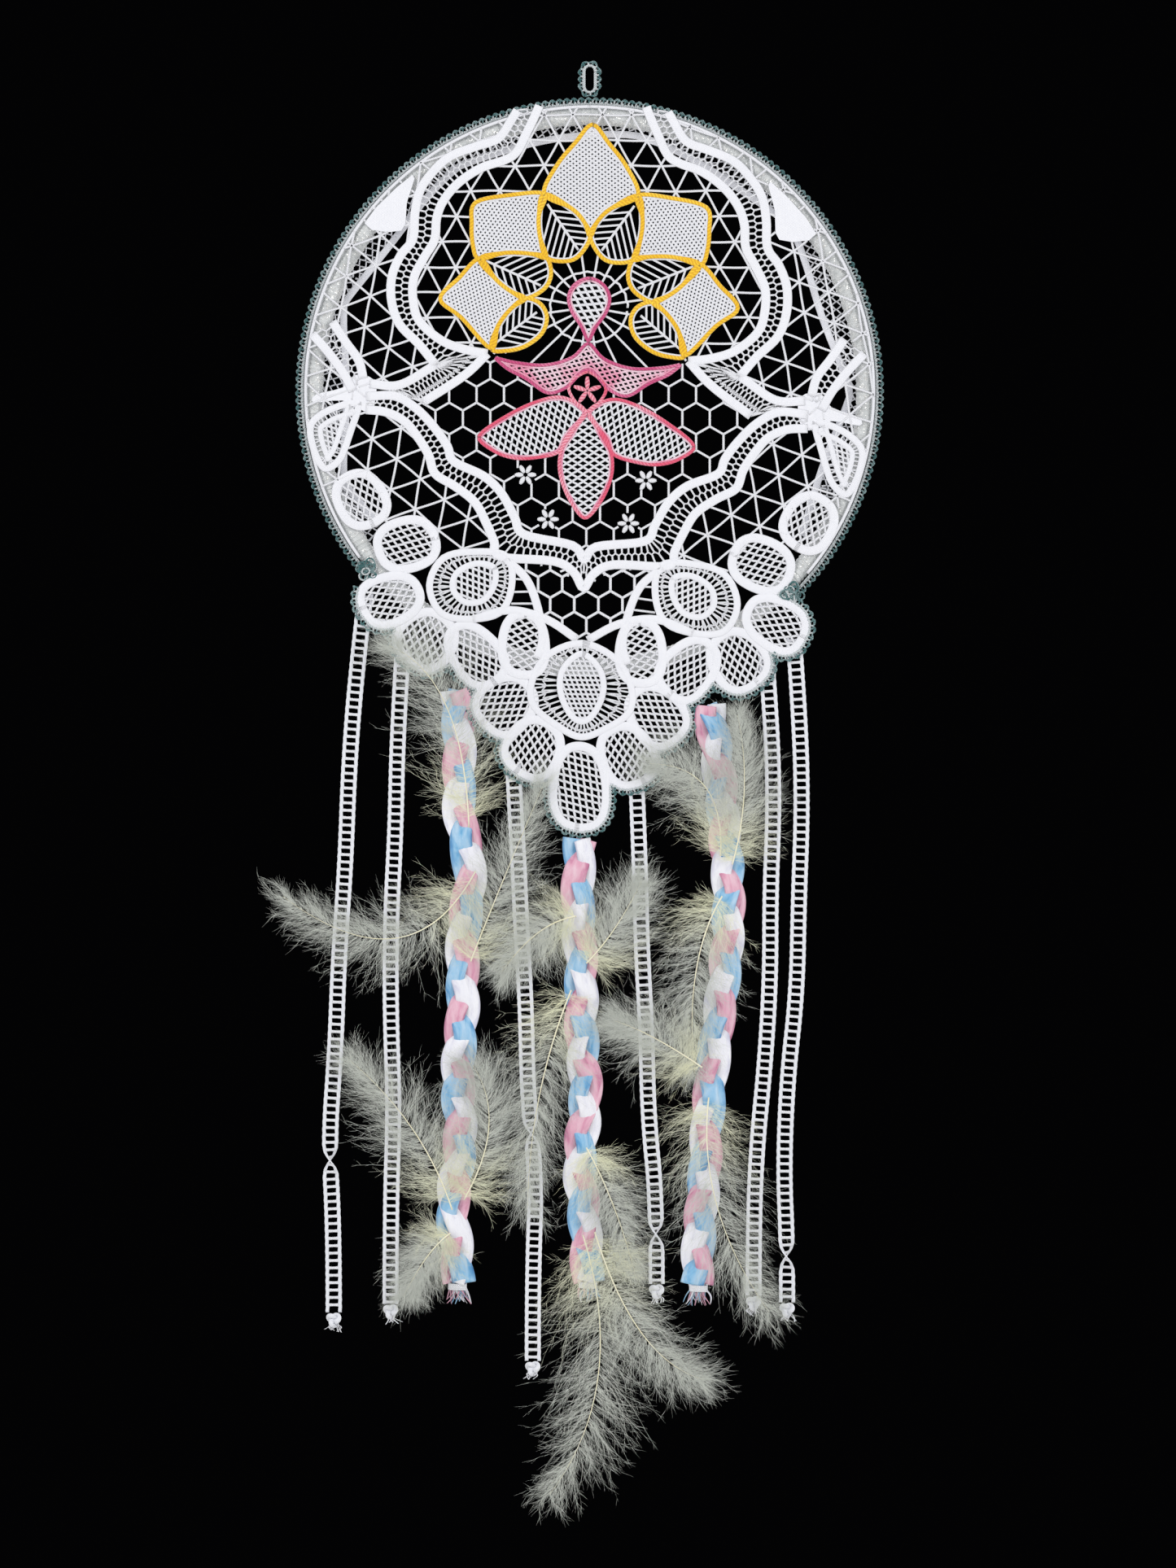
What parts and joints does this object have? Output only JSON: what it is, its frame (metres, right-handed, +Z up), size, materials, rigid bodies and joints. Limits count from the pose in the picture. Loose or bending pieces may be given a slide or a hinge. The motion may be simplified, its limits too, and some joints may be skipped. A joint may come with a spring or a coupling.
{
  "type": "dream catcher",
  "caption": "Wall-hung dream catcher: a wound hoop with a tape-lace panel, crocheted edging and hanging loop, open ladder tapes, satin braids and downy feathers.",
  "frame": {"origin": "top of the hanging loop's eye, where it sits on its hook", "axes": "+Z up along the hang, -Y towards the viewer in front of the lace, +X to the viewer's right"},
  "size_m": [0.3588, 0.0344, 0.8581],
  "materials": {
    "hoop_winding": "wound glitter yarn, silver grey",
    "crochet_thread": "white and teal crochet cotton",
    "white_lace": "white cotton bobbin lace",
    "yellow_thread": "yellow gimp thread",
    "pink_thread": "variegated pink thread",
    "white_tape": "white ladder tape",
    "satin_ribbon": "plaited satin ribbons, pink, blue and white",
    "down": "marabou feather down, grey cream"
  },
  "bodies": {
    "hoop_and_lace": {"back_fold": "white_lace", "bottom_fan": "white_lace", "bottom_ground": "white_lace", "crochet_edging": "crochet_thread", "edge_scallops": "white_lace", "fan_leaf_left": "white_lace", "fan_leaf_right": "white_lace", "flower_leaves": "white_lace", "flower_petals": "white_lace", "hoop": "hoop_winding", "lower_tape": "white_lace", "middle_ground": "white_lace", "pink_outline": "pink_thread", "pink_petals": "pink_thread", "scallop_edging": "crochet_thread", "side_ground_left": "white_lace", "side_ground_right": "white_lace", "side_tape_left": "white_lace", "side_tape_right": "white_lace", "top_ground": "white_lace", "upper_tape_left": "white_lace", "upper_tape_right": "white_lace", "yellow_outline": "yellow_thread"},
    "loop": {"hanging_loop": "crochet_thread"},
    "strand_1": {"ladder_tape_1": "white_tape", "tape_knot_1": "white_tape"},
    "strand_2": {"ladder_tape_2": "white_tape", "tape_knot_2": "white_tape"},
    "strand_3": {"ladder_tape_3": "white_tape", "tape_knot_3": "white_tape"},
    "strand_4": {"ladder_tape_4": "white_tape", "tape_knot_4": "white_tape"},
    "strand_5": {"ladder_tape_5": "white_tape", "tape_knot_5": "white_tape"},
    "strand_6": {"ladder_tape_6": "white_tape", "tape_knot_6": "white_tape"},
    "plait_left": {"braid_left": "satin_ribbon", "braid_tie_left": "satin_ribbon", "feather_01": "down", "feather_02": "down", "feather_03": "down", "feather_04": "down", "feather_05": "down", "feather_06": "down"},
    "plait_centre": {"braid_centre": "satin_ribbon", "braid_tie_centre": "satin_ribbon", "feather_07": "down", "feather_08": "down", "feather_09": "down", "feather_10": "down", "feather_11": "down", "feather_12": "down"},
    "plait_right": {"braid_right": "satin_ribbon", "braid_tie_right": "satin_ribbon", "feather_13": "down", "feather_14": "down", "feather_15": "down", "feather_16": "down", "feather_17": "down"}
  },
  "joints": [
    {"name": "loop_fold", "type": "hinge", "parent": "hoop_and_lace", "child": "loop", "pos_m": [0, 0, -0.0156], "axis": [1, 0, 0], "range_deg": [-80, 80]},
    {"name": "strand_1_swing", "type": "hinge", "parent": "hoop_and_lace", "child": "strand_1", "pos_m": [-0.134, -0.0054, -0.3156], "axis": [1, 0, 0], "range_deg": [0, 60]},
    {"name": "strand_2_swing", "type": "hinge", "parent": "hoop_and_lace", "child": "strand_2", "pos_m": [-0.112, -0.0054, -0.3526], "axis": [1, 0, 0], "range_deg": [0, 60]},
    {"name": "strand_3_swing", "type": "hinge", "parent": "hoop_and_lace", "child": "strand_3", "pos_m": [-0.046, -0.0054, -0.4166], "axis": [1, 0, 0], "range_deg": [0, 60]},
    {"name": "strand_4_swing", "type": "hinge", "parent": "hoop_and_lace", "child": "strand_4", "pos_m": [0.028, -0.0054, -0.4286], "axis": [1, 0, 0], "range_deg": [0, 60]},
    {"name": "strand_5_swing", "type": "hinge", "parent": "hoop_and_lace", "child": "strand_5", "pos_m": [0.105, -0.0054, -0.3456], "axis": [1, 0, 0], "range_deg": [0, 60]},
    {"name": "strand_6_swing", "type": "hinge", "parent": "hoop_and_lace", "child": "strand_6", "pos_m": [0.122, -0.0054, -0.3416], "axis": [1, 0, 0], "range_deg": [0, 60]},
    {"name": "plait_left_swing", "type": "hinge", "parent": "hoop_and_lace", "child": "plait_left", "pos_m": [-0.08, -0.007, -0.3756], "axis": [1, 0, 0], "range_deg": [-25, 0]},
    {"name": "plait_centre_swing", "type": "hinge", "parent": "hoop_and_lace", "child": "plait_centre", "pos_m": [-0.005, -0.007, -0.4626], "axis": [1, 0, 0], "range_deg": [-45, 0]},
    {"name": "plait_right_swing", "type": "hinge", "parent": "hoop_and_lace", "child": "plait_right", "pos_m": [0.072, -0.007, -0.3826], "axis": [1, 0, 0], "range_deg": [-45, 0]}
  ]
}
